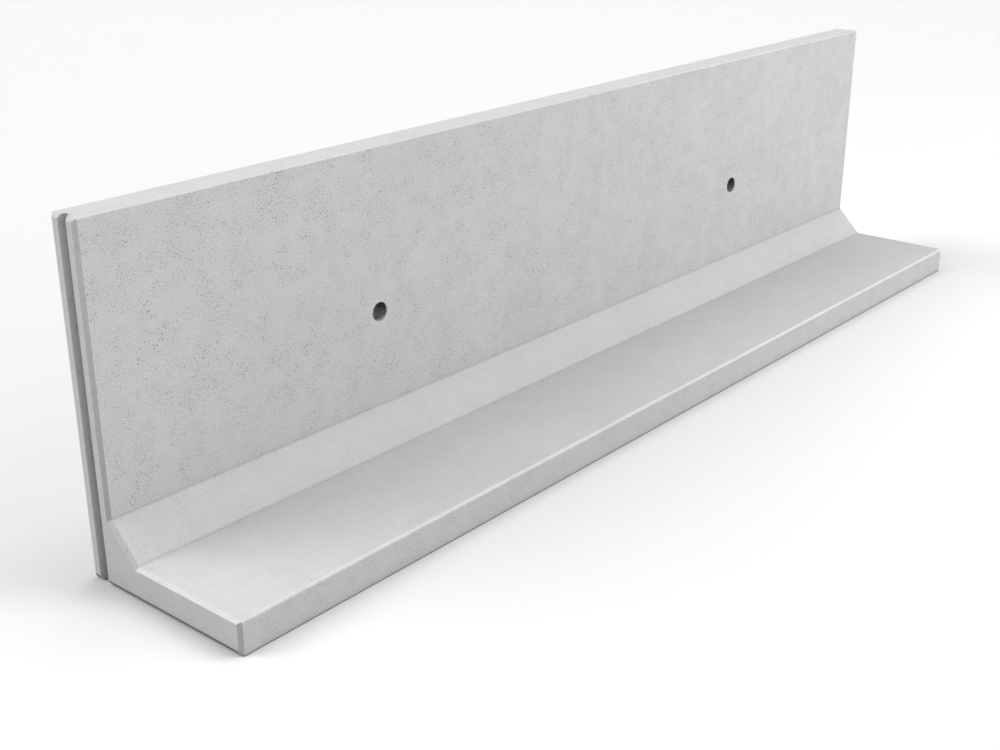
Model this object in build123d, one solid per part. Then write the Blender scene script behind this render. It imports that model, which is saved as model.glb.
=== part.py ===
from build123d import *
import os

# Precast concrete retaining wall element of L section, cast in one piece.
# X runs along the wall, the front face looks along +Y, the foot reaches along -Y under the soil.
# The base lies on Z = 0 and the origin is the middle of its rectangle. Lengths are in millimetres.

# Wall and foot
wall_length = 4000.0
wall_height = 1000.0
wall_thickness = 100.0
foot_depth = 600.0  # from the front face of the wall to the tip of the foot
foot_thickness = 100.0
haunch_leg = 100.0  # the fillet of concrete between wall and foot, as high as it is wide

# Edges
end_chamfer = 10.0  # left by the strips that run right round the two end shutters
wall_top_radius = 6.0  # the long edges of the top, rounded by the float
foot_edge_radius = 11.0  # the long upper edge at the tip of the foot

# Joint groove down each end of the wall, wider at its mouth
groove_mouth = 35.0
groove_floor = 10.0
groove_depth = 20.0

# Two round holes through the wall, at the quarter points of its length
hole_diameter = 60.0
hole_length_share = 0.25
hole_height_share = 0.5

# How far a cutter runs past the face that it cuts
overrun = 20.0

front_y = foot_depth / 2
soil_y = front_y - wall_thickness
wall_middle_y = front_y - wall_thickness / 2
tip_y = -foot_depth / 2
end_x = wall_length / 2


def section(top_radius, tip_radius):
    """The L of the wall and the foot, seen along X, with its long upper edges rounded."""
    haunch_top = foot_thickness + haunch_leg
    outline = Polyline(
        (front_y, 0),
        (tip_y, 0),
        (tip_y, foot_thickness),
        (soil_y - haunch_leg, foot_thickness),
        (soil_y, haunch_top),
        (soil_y, wall_height),
        (front_y, wall_height),
        close=True,
    )
    face = make_face(outline)
    if top_radius > 0:
        top_corners = face.vertices().group_by(Axis.Y)[-1]
        face = fillet(top_corners, top_radius)
    if tip_radius > 0:
        tip_corner = face.vertices().group_by(Axis.X)[0].sort_by(Axis.Y)[-1]
        face = fillet(tip_corner, tip_radius)
    return face


def run_of_wall(top_radius, tip_radius):
    """The section drawn out to the full length of the element."""
    profile = Plane.YZ * section(top_radius, tip_radius)
    return extrude(profile, wall_length / 2, both=True)


def with_end_chamfers(block):
    """The sharp-edged block with every edge of its two end faces chamfered."""
    ends = block.faces().group_by(Axis.X)
    edges = ends[0].edges() + ends[-1].edges()
    return chamfer(edges, end_chamfer)


def joint_groove():
    """The cutter of the joint groove in the end at +X."""
    outline = Polyline(
        (end_x + overrun, wall_middle_y - groove_mouth / 2),
        (end_x, wall_middle_y - groove_mouth / 2),
        (end_x - groove_depth, wall_middle_y - groove_floor / 2),
        (end_x - groove_depth, wall_middle_y + groove_floor / 2),
        (end_x, wall_middle_y + groove_mouth / 2),
        (end_x + overrun, wall_middle_y + groove_mouth / 2),
        close=True,
    )
    prism = extrude(make_face(outline), wall_height + 2 * overrun)
    return Pos(0, 0, -overrun) * prism


def through_hole():
    """The cutter of the hole in the half at +X."""
    x = wall_length * (0.5 - hole_length_share)
    z = wall_height * hole_height_share
    pin = Cylinder(hole_diameter / 2, wall_thickness + 2 * overrun)
    return Pos(x, wall_middle_y, z) * Rot(90, 0, 0) * pin


def wall_element():
    """The whole casting: rounded and chamfered L, less its grooves and its holes."""
    rounded = run_of_wall(wall_top_radius, foot_edge_radius)
    chamfered = with_end_chamfers(run_of_wall(0, 0))
    casting = rounded & chamfered
    for cutter in (joint_groove(), through_hole()):
        casting -= cutter
        casting -= mirror(cutter, Plane.YZ)
    return casting


os.makedirs("parts", exist_ok=True)
element = wall_element()
export_step(element, "parts/wall_element.step")
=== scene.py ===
import math

import bmesh
import bpy
import numpy as np
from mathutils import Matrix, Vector
from mathutils.geometry import delaunay_2d_cdt


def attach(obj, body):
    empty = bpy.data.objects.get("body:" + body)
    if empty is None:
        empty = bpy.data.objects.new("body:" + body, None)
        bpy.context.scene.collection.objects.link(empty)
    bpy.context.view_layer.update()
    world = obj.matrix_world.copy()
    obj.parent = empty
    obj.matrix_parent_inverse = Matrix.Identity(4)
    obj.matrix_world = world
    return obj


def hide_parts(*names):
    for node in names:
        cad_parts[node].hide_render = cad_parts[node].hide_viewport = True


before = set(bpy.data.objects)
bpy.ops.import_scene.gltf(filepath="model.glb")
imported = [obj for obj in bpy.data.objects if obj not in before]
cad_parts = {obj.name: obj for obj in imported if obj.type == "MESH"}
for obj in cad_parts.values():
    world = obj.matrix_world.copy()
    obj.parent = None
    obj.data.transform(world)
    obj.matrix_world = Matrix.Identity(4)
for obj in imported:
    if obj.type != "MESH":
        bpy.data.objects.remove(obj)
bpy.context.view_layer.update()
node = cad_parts["wall_element"]

# Sizes in metres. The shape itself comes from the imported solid.
ARRIS = 0.0005          # how far the sharp edges are worn back
CREASE = 0.0012         # the soft line where the haunch meets the wall and the foot
SEED = 7

# Air holes
PIT_RADIUS = (0.0009, 0.0026)
PIT_RADIUS_BIAS = 3.2   # the higher, the more of them are small
PIT_SIDES = 7
PIT_DEPTH = (0.55, 1.1)                 # for each metre of radius
PIT_WAIST = (0.78, 0.62)                # width and depth of the ring above the bottom
PIT_SQUASH = 0.65                       # the narrowest rim, short side by long side
PIT_UNEVEN = 0.88                       # the nearest point of a rim, by its radius
PIT_CLUSTERS = (0.07, 0.3)              # how wide the clusters are, small and large
PIT_CHANCE = (0.2, 1.6)                 # between the clusters, and added in their middle
PIT_TRIES = 3           # places tried for each air hole
GAP = 0.0012            # least concrete between two air holes, or from one to an edge
REGION_WIDTH = 0.0025   # area by length of rim of the narrowest face with air holes

# Air holes for each square metre, by the way a face looks
HOLES_SOIL = 760
HOLES_TIP = 260
HOLES_FRONT = 160
HOLES_END = 160
HOLES_END_BEVEL = 5200
HOLES_SLOPE = 260
HOLES_TOP = 150

# Where the parts of the casting are
END_X = 2.0
WALL_Y = 0.25           # the middle of the wall
WALL_THICKNESS = 0.1
SOIL_FACE_Y = 0.2
TIP_Y = -0.3
FOOT_THICKNESS = 0.1
HAUNCH = 0.1
WALL_HEIGHT = 1.0
GROOVE_MOUTH = 0.035
GROOVE_DEPTH = 0.02
HOLE_X = 1.0
HOLE_Z = 0.5
HOLE_RADIUS = 0.03

# Tones, by the plain concrete
# painted shade in the air holes: how dark their crater vertices are made
PIT_SHADE_TONE = 0.68
GROOVE_SHADE_TONE = 0.70      # painted shade at the floor of a groove
HOLE_SHADE_AND_LIGHT_TONES = (0.17, 1.1)                # painted shade at the roof and painted light at the floor of a hole
# painted shade on the front face of the foot
TIP_SHADE_TONE = 0.91
# paler upper end chamfers, and a painted highlight along the long rounded edges
PALE_CHAMFER_AND_HIGHLIGHT_TONE = 1.34
# painted shade on the bottom end chamfers
UNDER_CHAMFER_SHADE_TONE = 0.12
# painted shade along the creases of the haunch
CREASE_SHADE_TONE = 0.87
STRIP_SHADE_TONES = (0.87, 1.03)              # painted shade on the upright end chamfers, low and high
COOL = (0.4295, 0.4405, 0.4350, 1.0)
WARM = (0.4315, 0.4420, 0.4295, 1.0)
FLOOR = (0.62, 0.62, 0.62, 1.0)


# The casting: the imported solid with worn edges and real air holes

def sharp_edges(bm, low, high, concave):
    """Edges whose two faces meet at an angle between low and high degrees."""
    found = []
    for e in bm.edges:
        if len(e.link_faces) != 2:
            continue
        angle = e.calc_face_angle_signed(0.0)
        if low < abs(math.degrees(angle)) < high and (angle < 0) == concave:
            found.append(e)
    return found


def worn_solid():
    """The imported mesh, joined up, with its creases softened and its arrises worn."""
    bm = bmesh.new()
    bm.from_mesh(node.data)
    bmesh.ops.remove_doubles(bm, verts=bm.verts, dist=1e-6)
    bmesh.ops.dissolve_limit(bm, angle_limit=math.radians(0.5), verts=bm.verts, edges=bm.edges)
    bmesh.ops.recalc_face_normals(bm, faces=bm.faces)
    long_creases = [e for e in sharp_edges(bm, 30, 60, True)
                    if e.calc_length() > 1.0 and abs((e.verts[0].co - e.verts[1].co).x) > 1.0]
    bmesh.ops.bevel(bm, geom=long_creases, offset=CREASE, segments=3, profile=0.5,
                    affect="EDGES", clamp_overlap=False)
    arrises = sharp_edges(bm, 25, 180, False) + sharp_edges(bm, 25, 180, True)
    bmesh.ops.bevel(bm, geom=arrises, offset=ARRIS, segments=2, profile=0.5,
                    affect="EDGES", clamp_overlap=False)
    bmesh.ops.recalc_face_normals(bm, faces=bm.faces)
    return bm


def flat_regions(bm):
    """Sets of touching coplanar faces that are wide enough to carry air holes."""
    seen, regions = set(), []
    for start in bm.faces:
        if start in seen:
            continue
        seen.add(start)
        region, queue = [], [start]
        while queue:
            f = queue.pop()
            region.append(f)
            for e in f.edges:
                for g in e.link_faces:
                    if g not in seen and g.normal.dot(start.normal) > 0.999999:
                        seen.add(g)
                        queue.append(g)
        inside = set(region)
        rim = [e for f in region for e in f.edges
               if sum(g in inside for g in e.link_faces) == 1]
        area = sum(f.calc_area() for f in region)
        length = sum(e.calc_length() for e in rim)
        if area / length > REGION_WIDTH:
            regions.append((region, rim, area))
    return regions


def holes_wanted(normal, level):
    """How many air holes a square metre of this face has."""
    if normal.z < -0.5:             # the underside and its chamfers
        return 0
    if normal.z > 0.9:
        return HOLES_TOP
    if abs(normal.x) > 0.5:         # the ends and their chamfers
        return HOLES_END_BEVEL if abs(normal.x) < 0.9 else HOLES_END
    if normal.z > 0.3:
        return HOLES_SLOPE
    if normal.y > 0:
        return HOLES_FRONT
    return HOLES_SOIL if level > FOOT_THICKNESS else HOLES_TIP


def segment_distance(p, a, b):
    """Distance of each point p from the nearest of the segments a to b."""
    best = np.full(len(p), 1e9)
    for s, t in zip(a, b):
        d = t - s
        k = np.clip(((p - s) @ d) / max(d @ d, 1e-18), 0, 1)
        best = np.minimum(best, np.linalg.norm(p - s - k[:, None] * d, axis=1))
    return best


def within(p, a, b):
    """Which points p lie inside the outline made of the segments a to b."""
    inside = np.zeros(len(p), bool)
    for s, t in zip(a, b):
        if s[1] == t[1]:
            continue
        spans = (s[1] > p[:, 1]) != (t[1] > p[:, 1])
        x = s[0] + (p[:, 1] - s[1]) * (t[0] - s[0]) / (t[1] - s[1])
        inside ^= spans & (p[:, 0] < x)
    return inside


def crowding(rng, p, lo, hi, cell):
    """A smooth random field from 0 to 1 with bumps about as wide as cell, read at the points p."""
    n = np.ceil((hi - lo) / cell).astype(int) + 2
    grid = rng.random(n)
    q = (p - lo) / cell
    i = q.astype(int)
    t = q - i
    t = t * t * (3 - 2 * t)
    x, y = i[:, 0], i[:, 1]
    near = grid[x, y] * (1 - t[:, 0]) + grid[x + 1, y] * t[:, 0]
    far = grid[x, y + 1] * (1 - t[:, 0]) + grid[x + 1, y + 1] * t[:, 0]
    return near * (1 - t[:, 1]) + far * t[:, 1]


def place_pits(rng, a, b, area, density):
    """Centres and radii of the air holes of one region, which stand in loose clusters."""
    lo, hi = np.minimum(a, b).min(0), np.maximum(a, b).max(0)
    tries = int(density * np.prod(hi - lo) * PIT_TRIES) + 1
    p = rng.uniform(lo, hi, (tries, 2))
    small_clusters, large_clusters = PIT_CLUSTERS
    crowd = crowding(rng, p, lo, hi, small_clusters) * crowding(rng, p, lo, hi, large_clusters)
    p = p[rng.random(tries) < PIT_CHANCE[0] + PIT_CHANCE[1] * crowd]
    tries = len(p)
    small, large = PIT_RADIUS
    r = small + (large - small) * rng.random(tries) ** PIT_RADIUS_BIAS
    keep = within(p, a, b)
    p, r = p[keep], r[keep]
    if not len(p):
        return p, r
    keep = segment_distance(p, a, b) > r + GAP
    p, r = p[keep], r[keep]
    cell, grid, chosen = 2 * large + GAP, {}, []
    for i in range(len(p)):
        key = tuple((p[i] // cell).astype(int))
        near = [j for dx in (-1, 0, 1) for dy in (-1, 0, 1)
                for j in grid.get((key[0] + dx, key[1] + dy), ())]
        if all(np.linalg.norm(p[i] - p[j]) > r[i] + r[j] + GAP for j in near):
            grid.setdefault(key, []).append(i)
            chosen.append(i)
        if len(chosen) >= density * area:
            break
    return p[chosen], r[chosen]


def pit_outline(rng, centre, radius):
    """The uneven rim of one air hole."""
    turn = rng.random() * 2 * math.pi
    squash = rng.uniform(PIT_SQUASH, 1.0)
    lean = rng.random() * math.pi
    a = np.linspace(0, 2 * math.pi, PIT_SIDES, endpoint=False) + turn
    reach = radius * rng.uniform(PIT_UNEVEN, 1.0, PIT_SIDES)
    ring = np.stack([np.cos(a), squash * np.sin(a)], 1) * reach[:, None]
    c, s = math.cos(lean), math.sin(lean)
    return centre + ring @ np.array([[c, s], [-s, c]])


def pit_region(bm, rng, region, rim, area):
    """Replaces a flat region by triangles with a crater at each air hole.

    Returns the vertices of the flat part with its normal, and those down in the craters.
    """
    normal = region[0].normal.copy()
    along = normal.orthogonal().normalized()
    across = normal.cross(along)
    origin = rim[0].verts[0].co.copy()

    def flat(co):
        return (co - origin).dot(along), (co - origin).dot(across)

    verts = list({v for e in rim for v in e.verts})
    index = {v: i for i, v in enumerate(verts)}
    points = [flat(v.co) for v in verts]
    edges = [(index[e.verts[0]], index[e.verts[1]]) for e in rim]
    a = np.array([points[i] for i, _ in edges])
    b = np.array([points[j] for _, j in edges])
    wanted = holes_wanted(normal, region[0].calc_center_median().z)
    centres, radii = place_pits(rng, a, b, area, wanted)
    owner = [-1] * len(points)
    rings = []
    for k, (centre, radius) in enumerate(zip(centres, radii)):
        ring = pit_outline(rng, centre, radius)
        first = len(points)
        rings.append(list(range(first, first + PIT_SIDES)))
        points += [tuple(q) for q in ring]
        owner += [k] * PIT_SIDES
        edges += [(first + i, first + (i + 1) % PIT_SIDES) for i in range(PIT_SIDES)]
    out, _, faces, source, _, _ = delaunay_2d_cdt([Vector(q) for q in points], edges, [], 0, 1e-9, True)
    made = verts + [bm.verts.new(origin + along * q[0] + across * q[1])
                    for q in points[len(verts):]]
    lookup = [made[s[0]] if s else None for s in source]
    owners = [owner[s[0]] if s else -2 for s in source]
    middles = np.array([[sum(out[i][k] for i in f) / 3 for k in (0, 1)] for f in faces])
    keep = within(middles, a, b)
    bmesh.ops.delete(bm, geom=region, context="FACES_ONLY")
    for f, ok in zip(faces, keep):
        tri = [lookup[i] for i in f]
        if not ok or None in tri:
            continue
        who = {owners[i] for i in f}
        if len(who) == 1 and who.pop() >= 0:    # the lid of an air hole
            continue
        new = bm.faces.new(tri)
        if (tri[1].co - tri[0].co).cross(tri[2].co - tri[0].co).dot(normal) < 0:
            new.normal_flip()
    inner = []
    for ring, centre, radius in zip(rings, centres, radii):
        depth = radius * rng.uniform(*PIT_DEPTH)
        middle = origin + along * centre[0] + across * centre[1]
        top = [made[i] for i in ring]
        low = [bm.verts.new(middle + (v.co - middle) * PIT_WAIST[0] - normal * depth * PIT_WAIST[1])
               for v in top]
        floor = bm.verts.new(middle - normal * depth)
        for i in range(PIT_SIDES):
            j = (i + 1) % PIT_SIDES
            for corners in ((top[i], top[j], low[j]), (top[i], low[j], low[i]),
                            (low[i], low[j], floor)):
                new = bm.faces.new(corners)
                mid = sum((v.co for v in corners), Vector()) / 3
                new.normal_update()
                if new.normal.dot(middle + normal * radius - mid) < 0:
                    new.normal_flip()
        inner += low + [floor]
    return [(v, normal) for v in made], inner


def casting():
    """The finished piece."""
    bm = worn_solid()
    rng = np.random.default_rng(SEED)
    known, inner = [], []
    regions = flat_regions(bm)
    regions.sort(key=lambda r: (round(r[2], 4),
                                tuple(round(c, 3) for c in r[0][0].calc_center_median())))
    for region, rim, area in regions:
        on_plane, in_pits = pit_region(bm, rng, region, rim, area)
        known += on_plane
        inner += in_pits
    bm.verts.index_update()
    deep = {v.index for v in inner}
    planes = {v.index: n for v, n in known if v.is_valid}
    loose = [v for v in bm.verts if not v.link_faces]
    assert not loose, len(loose)
    bmesh.ops.triangulate(bm, faces=[f for f in bm.faces if len(f.verts) > 4])
    bm.normal_update()
    normals = [None] * len(bm.verts)
    for v in bm.verts:
        mean = sum((f.normal * f.calc_area() for f in v.link_faces), Vector())
        normals[v.index] = planes.get(v.index, mean.normalized())
    mesh = bpy.data.meshes.new("concrete_casting")
    bm.to_mesh(mesh)
    bm.free()
    mesh.polygons.foreach_set("use_smooth", [True] * len(mesh.polygons))
    hollow = mesh.attributes.new("hollow", "FLOAT", "POINT")
    hollow.data.foreach_set("value", [1.0 if i in deep else 0.0
                                      for i in range(len(mesh.vertices))])
    mesh.normals_split_custom_set_from_vertices([tuple(n) for n in normals])
    piece = bpy.data.objects.new("concrete_casting", mesh)
    bpy.context.scene.collection.objects.link(piece)
    return piece


# Concrete

class Nodes:
    """A short way to build a node tree."""

    def __init__(self, tree):
        self.tree = tree
        tree.nodes.clear()

    def add(self, kind, inputs=None, **settings):
        n = self.tree.nodes.new(kind)
        for k, v in settings.items():
            setattr(n, k, v)
        for k, v in (inputs or {}).items():
            if isinstance(v, bpy.types.NodeSocket):
                self.tree.links.new(v, n.inputs[k])
            else:
                n.inputs[k].default_value = v
        return n

    def noise(self, vector, scale, detail=2.0, roughness=0.5):
        return self.add("ShaderNodeTexNoise", {
            "Vector": vector, "Scale": scale, "Detail": detail, "Roughness": roughness,
        }).outputs["Fac"]

    def stretched(self, vector, scale):
        return self.add("ShaderNodeVectorMath", {0: vector, 1: scale}, operation="MULTIPLY").outputs[0]

    def ranged(self, value, low, high, to_low, to_high):
        """Runs from to_low to to_high while value goes from low to high, and stops there."""
        return self.add("ShaderNodeMapRange", {
            "Value": value, "From Min": low, "From Max": high, "To Min": to_low, "To Max": to_high,
        }).outputs["Result"]

    def maths(self, operation, a, b=0.0):
        return self.add("ShaderNodeMath", {0: a, 1: b}, operation=operation).outputs[0]

    def product(self, first, *others):
        for other in others:
            first = self.maths("MULTIPLY", first, other)
        return first

    def rest_of(self, share):
        return self.maths("SUBTRACT", 1.0, share)

    def toned(self, share, tone):
        """1 where share is 0, and tone where it is 1."""
        return self.ranged(share, 0.0, 1.0, 1.0, tone)

    def distance(self, a, b):
        """How far the point with the two coordinates a and b is from nought."""
        both = self.add("ShaderNodeCombineXYZ", {0: a, 1: b}).outputs[0]
        return self.add("ShaderNodeVectorMath", {0: both}, operation="LENGTH").outputs["Value"]

    def axes(self, vector):
        return self.add("ShaderNodeSeparateXYZ", {0: vector}).outputs


def groove(t, part):
    """From 0 on the open faces to 1 at the floor of a joint groove: the reach of the painted shade
    there.
    """
    from_end = t.maths("SUBTRACT", END_X, t.maths("ABSOLUTE", part["X"]))
    from_middle = t.maths("ABSOLUTE", t.maths("SUBTRACT", part["Y"], WALL_Y))
    return t.product(
        t.maths("LESS_THAN", from_middle, GROOVE_MOUTH / 2),
        t.ranged(from_end, 0.0, GROOVE_DEPTH, 0.0, 1.0),
        t.maths("LESS_THAN", from_end, GROOVE_DEPTH + ARRIS))


def painted_hole_shade(t, part, facing):
    """Painted shade on the sides of the two holes, darkest at the roof, and painted light on their
    floor.
    """
    rim = WALL_THICKNESS / 2 - 0.006, WALL_THICKNESS / 2 - 0.001
    from_middle = t.maths("ABSOLUTE", t.maths("SUBTRACT", part["Y"], WALL_Y))
    beside = t.maths("SUBTRACT", t.maths("ABSOLUTE", part["X"]), HOLE_X)
    above = t.maths("SUBTRACT", part["Z"], HOLE_Z)
    inside = t.product(
        t.maths("LESS_THAN", t.distance(beside, above), HOLE_RADIUS + ARRIS),
        t.ranged(from_middle, *rim, 1.0, 0.0))
    hole_shade_and_light = t.ranged(facing["Z"], -0.1, 0.85, *HOLE_SHADE_AND_LIGHT_TONES)
    return t.rest_of(t.product(inside, t.rest_of(hole_shade_and_light)))


def specks(t, place):
    """Sand grains and small dark dots, in loose clusters."""
    dark = t.ranged(t.noise(place, 210.0, 2.0, 0.7), 0.48, 0.68, 0.0, 0.36)
    for scale, depth in ((115.0, 0.44), (170.0, 0.40)):
        cells = t.add("ShaderNodeTexVoronoi", {"Vector": place, "Scale": scale})
        chance = t.add("ShaderNodeSeparateColor", {"Color": cells.outputs["Color"]}).outputs[0]
        size = t.ranged(chance, 0.25, 1.0, 0.04, 0.34)
        inside = t.maths("SUBTRACT", size, cells.outputs["Distance"])
        dark = t.maths("ADD", dark, t.ranged(inside, 0.0, 0.07, 0.0, depth))
    crowd = t.ranged(t.noise(place, 17.0, 4.0, 0.65), 0.40, 0.62, 0.25, 1.0)
    return dark, crowd


def pale_chamfers_and_highlights(t, part, facing, beside):
    """Paler upper end chamfers, most on the foot, and a painted highlight along the long rounded edges.
    """
    steep = t.ranged(facing["Z"], 0.35, 0.45, 0.0, 0.22)        # the chamfers of the haunch
    level = t.ranged(facing["Z"], 0.55, 0.65, 0.0, 1.0)
    chamfers = t.product(beside, t.maths("MAXIMUM", steep, level))
    chamfers = t.product(chamfers, t.ranged(part["Z"], 0.15, 0.9, 1.0, 0.38))
    outer = t.maths("MAXIMUM", t.maths("GREATER_THAN", part["Z"], WALL_HEIGHT - 0.015),
                    t.maths("LESS_THAN", part["Y"], TIP_Y + 0.02))
    # painted highlight along the long rounded edges
    rounded = t.product(t.ranged(facing["Z"], 0.2, 0.5, 0.0, 1.0),
                        t.ranged(facing["Z"], 0.85, 0.98, 1.0, 0.0))
    return t.maths("MAXIMUM", chamfers, t.product(outer, rounded, 0.45))


def painted_crease_shade(t, part, facing):
    """Painted shade along the two creases of the haunch, but not on the ends."""
    into_foot = t.distance(t.maths("SUBTRACT", part["Y"], SOIL_FACE_Y - HAUNCH),
                           t.maths("SUBTRACT", part["Z"], FOOT_THICKNESS))
    into_wall = t.distance(t.maths("SUBTRACT", part["Y"], SOIL_FACE_Y),
                           t.maths("SUBTRACT", part["Z"], FOOT_THICKNESS + HAUNCH))
    away = t.maths("MINIMUM", into_foot, into_wall)
    creased = t.product(t.ranged(away, 0.002, 0.008, CREASE_SHADE_TONE, 1.0),
                        t.ranged(away, 0.0, 0.06, 0.975, 1.0))
    on_end = t.ranged(t.maths("ABSOLUTE", facing["X"]), 0.1, 0.3, 0.0, 1.0)
    return t.maths("MAXIMUM", creased, on_end)


def painted_strip_shade(t, part, facing):
    """Painted shade on the upright end chamfers, darker towards the floor."""
    upright = t.ranged(t.maths("ABSOLUTE", facing["Z"]), 0.15, 0.3, 1.0, 0.0)
    turn = t.maths("SUBTRACT", t.maths("ABSOLUTE", facing["X"]), 0.707)
    strip = t.product(upright, t.ranged(t.maths("ABSOLUTE", turn), 0.1, 0.2, 1.0, 0.0))
    strip_shade_share = t.rest_of(t.ranged(part["Z"], 0.15, 0.8, *STRIP_SHADE_TONES))
    return t.rest_of(t.product(strip, strip_shade_share))


def painted_contact_shade(t, part, facing):
    """Painted contact shade along the foot of the casting, highest on the ends. The underside is left
    out.
    """
    low = t.product(t.ranged(part["Z"], 0.0, 0.024, 0.90, 1.0),
                    t.ranged(part["Z"], 0.002, 0.006, 0.42, 1.0))
    low_on_end = t.maths("MAXIMUM", t.ranged(part["Z"], 0.0125, 0.0165, 0.22, 1.0),
                         t.ranged(t.maths("ABSOLUTE", facing["X"]), 0.9, 0.95, 1.0, 0.0))
    underside = t.ranged(facing["Z"], -0.95, -0.9, 1.0, 0.0)
    return t.maths("MAXIMUM", t.product(low, low_on_end), underside)


def concrete():
    """Pale fair-faced concrete: clouds, faint rising streaks, grain and specks; painted shade in the
    air holes, groove, holes, creases, on the front of the foot, the upright and bottom end chamfers and
    the base; paler upper end chamfers; painted highlights on the rounded edges and painted light on the
    hole floors.
    """
    mat = bpy.data.materials.new("fair_faced_concrete")
    mat.use_nodes = True
    t = Nodes(mat.node_tree)
    place = t.add("ShaderNodeTexCoord").outputs["Object"]
    part = t.axes(place)
    facing = t.axes(t.add("ShaderNodeNewGeometry").outputs["Normal"])
    on_tip = t.product(t.maths("LESS_THAN", part["Y"], TIP_Y + 0.001),
                       t.ranged(facing["Y"], -0.95, -0.8, 1.0, 0.0))
    moulded = t.product(t.ranged(t.maths("ABSOLUTE", facing["Y"]), 0.75, 0.95, 0.35, 1.0),
                        t.toned(on_tip, 0.65))
    beside = t.ranged(t.maths("ABSOLUTE", facing["X"]), 0.4, 0.6, 0.0, 1.0)

    clouds = t.ranged(t.noise(place, 3.0, 4.0), 0.3, 0.7, 0.98, 1.02)
    streaks = t.noise(t.stretched(place, (13.0, 13.0, 2.2)), 1.0, 3.0)
    streaks = t.ranged(streaks, 0.3, 0.7, 0.985, 1.015)
    patches = t.ranged(t.noise(place, 30.0, 4.0, 0.6), 0.3, 0.7, 0.986, 1.014)
    grain = t.ranged(t.noise(place, 190.0, 3.0, 0.75), 0.3, 0.7, -0.10, 0.10)
    grain = t.product(grain, t.ranged(moulded, 0.35, 1.0, 0.75, 1.0))
    dark, crowd = specks(t, place)
    speck = t.product(dark, t.product(crowd, moulded))
    pits = t.add("ShaderNodeAttribute", attribute_name="hollow").outputs["Fac"]
    # the bottom end chamfers, which get painted shade
    under = t.product(beside, t.ranged(facing["Z"], -0.6, -0.5, 1.0, 0.0))
    tone = t.product(
        clouds, streaks, patches,
        t.maths("ADD", 1.0, grain),
        t.rest_of(speck),
        # painted shade in the air holes
        t.toned(pits, PIT_SHADE_TONE),
        t.toned(groove(t, part), GROOVE_SHADE_TONE),
        painted_hole_shade(t, part, facing),
        t.toned(pale_chamfers_and_highlights(t, part, facing, beside), PALE_CHAMFER_AND_HIGHLIGHT_TONE),
        # painted shade on the front face of the foot
        t.toned(on_tip, TIP_SHADE_TONE),
        painted_strip_shade(t, part, facing),
        painted_crease_shade(t, part, facing),
        t.toned(under, UNDER_CHAMFER_SHADE_TONE),
        painted_contact_shade(t, part, facing))
    warmth = t.noise(t.stretched(place, (6.0, 6.0, 2.5)), 1.0, 4.0, 0.6)
    warmth = t.ranged(warmth, 0.38, 0.62, 0.0, 1.0)
    hue = t.add("ShaderNodeMix", {0: warmth, 6: COOL, 7: WARM}, data_type="RGBA").outputs[2]
    base = t.add("ShaderNodeVectorMath", {0: hue, 3: tone}, operation="SCALE").outputs[0]

    waves = t.ranged(t.noise(place, 14.0, 3.0), 0.0, 1.0, 0.0, 0.0010)
    rough = t.ranged(t.noise(place, 650.0, 3.0, 0.7), 0.0, 1.0, 0.0, 0.00020)
    dents = t.ranged(speck, 0.0, 0.3, 0.0, 0.0003)
    height = t.maths("SUBTRACT", t.maths("ADD", waves, rough), dents)
    bump = t.add("ShaderNodeBump", {"Strength": 0.7, "Distance": 1.0, "Height": height}).outputs[0]

    shader = t.add("ShaderNodeBsdfPrincipled", {"Base Color": base, "Normal": bump})
    shader.inputs["Roughness"].default_value = 0.72
    shader.inputs["Specular IOR Level"].default_value = 0.35
    out = t.add("ShaderNodeOutputMaterial")
    mat.node_tree.links.new(shader.outputs[0], out.inputs[0])
    return mat


# Floor, light and camera

def floor():
    """A plain pale floor, wide enough for every view."""
    bpy.ops.mesh.primitive_plane_add(size=80.0, location=(0.0, 0.0, 0.0))
    plane = bpy.context.object
    plane.name = "studio_floor"
    mat = bpy.data.materials.new("pale_floor")
    mat.use_nodes = True
    shader = mat.node_tree.nodes["Principled BSDF"]
    shader.inputs["Base Color"].default_value = FLOOR
    shader.inputs["Roughness"].default_value = 0.9
    shader.inputs["Specular IOR Level"].default_value = 0.1
    plane.data.materials.append(mat)


def put_lamp(name, data, place, away):
    """Stands a lamp at place, shining against the direction away."""
    lamp = bpy.data.objects.new(name, data)
    lamp.location = place
    lamp.rotation_mode = "QUATERNION"
    lamp.rotation_quaternion = Vector(away).to_track_quat("Z", "Y")
    bpy.context.scene.collection.objects.link(lamp)


def far_soft_box(name, azimuth, elevation, strength):
    """A wide soft light that is the same over the whole floor."""
    data = bpy.data.lights.new(name, "SUN")
    data.angle = math.radians(40.0)
    data.energy = strength
    a, e = math.radians(azimuth), math.radians(elevation)
    way = Vector((math.cos(a) * math.cos(e), math.sin(a) * math.cos(e), math.sin(e)))
    put_lamp(name, data, way * 12.0, way)


def near_soft_box(name, place, target, size, power):
    """A square soft box close enough to fall off along the wall."""
    data = bpy.data.lights.new(name, "AREA")
    data.shape = "SQUARE"
    data.size = size
    data.energy = power
    put_lamp(name, data, place, Vector(place) - Vector(target))


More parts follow.
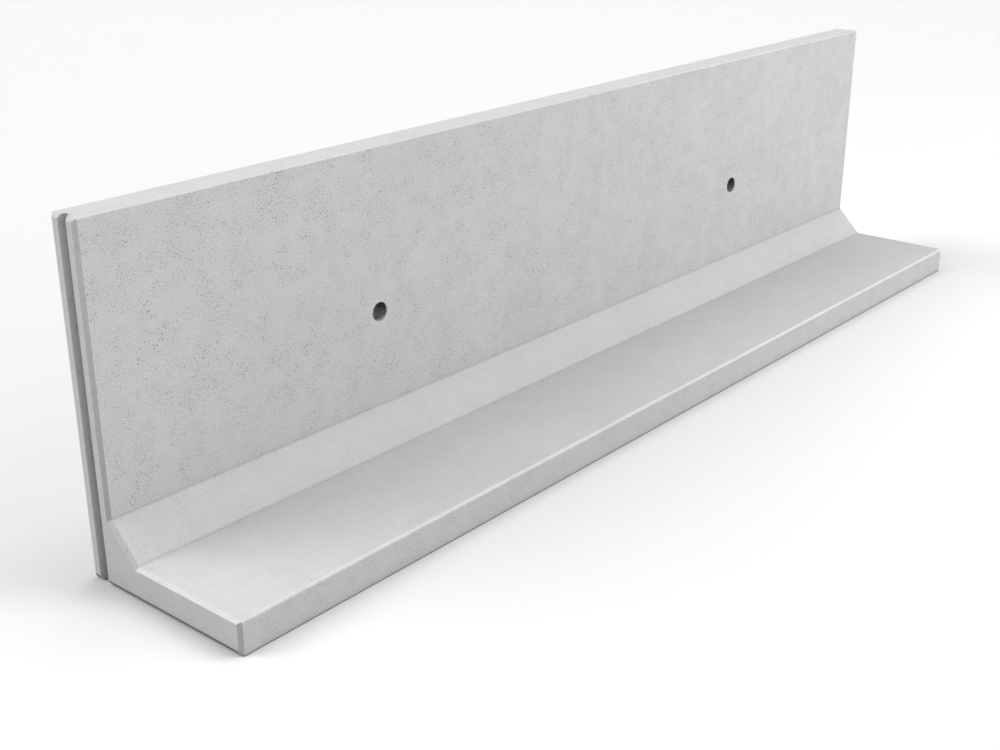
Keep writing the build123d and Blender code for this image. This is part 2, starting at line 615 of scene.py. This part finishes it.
def lights():
    """White surround for the camera alone, and the soft boxes that light the part."""
    world = bpy.data.worlds.new("studio")
    bpy.context.scene.world = world
    world.use_nodes = True
    world.node_tree.nodes["Background"].inputs[0].default_value = (1.0, 1.0, 1.0, 1.0)
    world.node_tree.nodes["Background"].inputs[1].default_value = 1.0
    world.cycles_visibility.diffuse = False
    world.cycles_visibility.glossy = False
    far_soft_box("behind_left", 135.0, 45.0, 2.45)
    far_soft_box("low_behind_left", 135.0, 18.0, 0.37)
    far_soft_box("low_behind_right", 45.0, 18.0, 0.68)
    far_soft_box("high_right", 0.0, 70.0, 1.44)
    far_soft_box("right", 0.0, 45.0, 0.24)
    far_soft_box("front_right", 315.0, 45.0, 0.99)
    far_soft_box("low_front_right", 315.0, 18.0, 1.09)
    far_soft_box("low_front", 270.0, 18.0, 0.58)
    near_soft_box("beside_left_end", (-4.6, -0.6, 2.6), (-2.0, -0.1, 0.2), 1.5, 20.0)
    near_soft_box("far_right_soft_box", (5.3, -5.3, 1.7), (0.0, 0.0, 0.4), 4.0, 120.0)
    near_soft_box("near_right_soft_box", (2.0, -3.0, 1.2), (0.8, 0.1, 0.5), 2.0, 21.0)


def camera():
    """The view of the photograph: 50 mm lens, turned 49.95 degrees from +Y and 22 degrees down."""
    yaw, pitch = math.radians(49.95), math.radians(22.0)
    look = Vector((math.sin(yaw) * math.cos(pitch), math.cos(yaw) * math.cos(pitch), -math.sin(pitch)))
    data = bpy.data.cameras.new("photo_view")
    data.lens = 50.0
    data.sensor_width = 36.0
    data.clip_end = 200.0
    cam = bpy.data.objects.new("photo_view", data)
    cam.location = (-3.77406, -2.60168, 1.88191)
    cam.rotation_mode = "QUATERNION"
    cam.rotation_quaternion = look.to_track_quat("-Z", "Y")
    bpy.context.scene.collection.objects.link(cam)
    bpy.context.scene.camera = cam


piece = casting()
piece.data.materials.append(concrete())
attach(piece, "root")
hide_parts("wall_element")
floor()
lights()
camera()
bpy.context.scene.view_settings.view_transform = "Standard"

print("triangles", sum(len(p.vertices) - 2 for p in piece.data.polygons))
